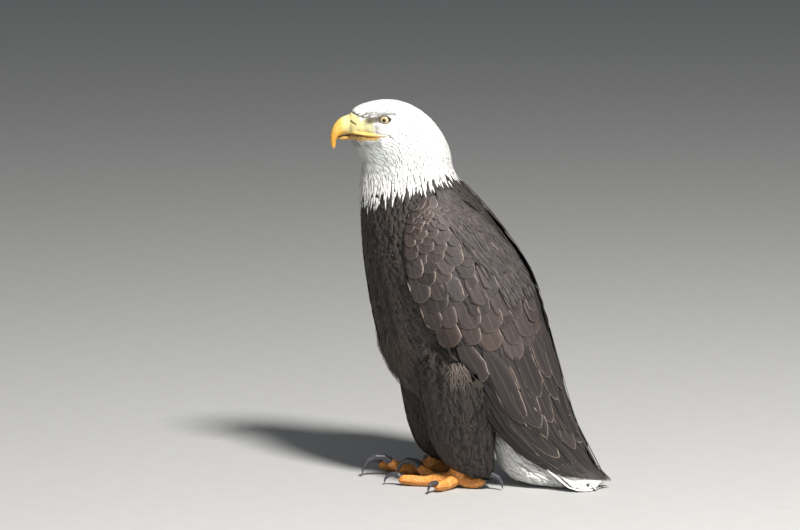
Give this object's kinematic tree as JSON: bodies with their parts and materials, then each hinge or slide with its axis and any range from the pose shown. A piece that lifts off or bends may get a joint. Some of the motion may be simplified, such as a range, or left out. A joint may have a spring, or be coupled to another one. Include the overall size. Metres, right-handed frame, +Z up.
{
  "type": "bald eagle, adult, standing, life-size still model",
  "caption": "Life-size still model of a standing adult bald eagle with folded wings, its head in profile, resting on flat toes and tail.",
  "frame": {"origin": "middle of the underside of the whole bird's box, on the floor between its feet and tail", "axes": "+Z up, the bird looks along -Y with its head turned 13 degrees to its left, and its left side is +X"},
  "size_m": [0.2174, 0.423, 0.5743],
  "materials": {
    "white_plumage": "soft overlapping white feathers",
    "brown_plumage": "dark brown feathers with paler worn edges",
    "dark_plumage": "stiff blackish-brown flight feathers",
    "bill_horn": "smooth yellow horn, satin",
    "iris": "wet pale yellow eye",
    "foot_skin": "scaly orange-yellow skin",
    "claw_horn": "polished blue-black horn"
  },
  "bodies": {
    "root": {"claw_left_hind": "claw_horn", "claw_left_inner": "claw_horn", "claw_left_middle": "claw_horn", "claw_left_outer": "claw_horn", "claw_right_hind": "claw_horn", "claw_right_inner": "claw_horn", "claw_right_middle": "claw_horn", "claw_right_outer": "claw_horn", "eye_left": "iris", "eye_right": "iris", "foot_left": "foot_skin", "foot_right": "foot_skin", "head": "white_plumage", "lower_bill": "bill_horn", "neck": "white_plumage", "primaries_left": "dark_plumage", "primaries_right": "dark_plumage", "tail": "white_plumage", "thigh_left": "brown_plumage", "thigh_right": "brown_plumage", "trunk": "brown_plumage", "undertail": "white_plumage", "upper_bill": "bill_horn", "wing_left": "brown_plumage", "wing_right": "brown_plumage"}
  },
  "joints": []
}
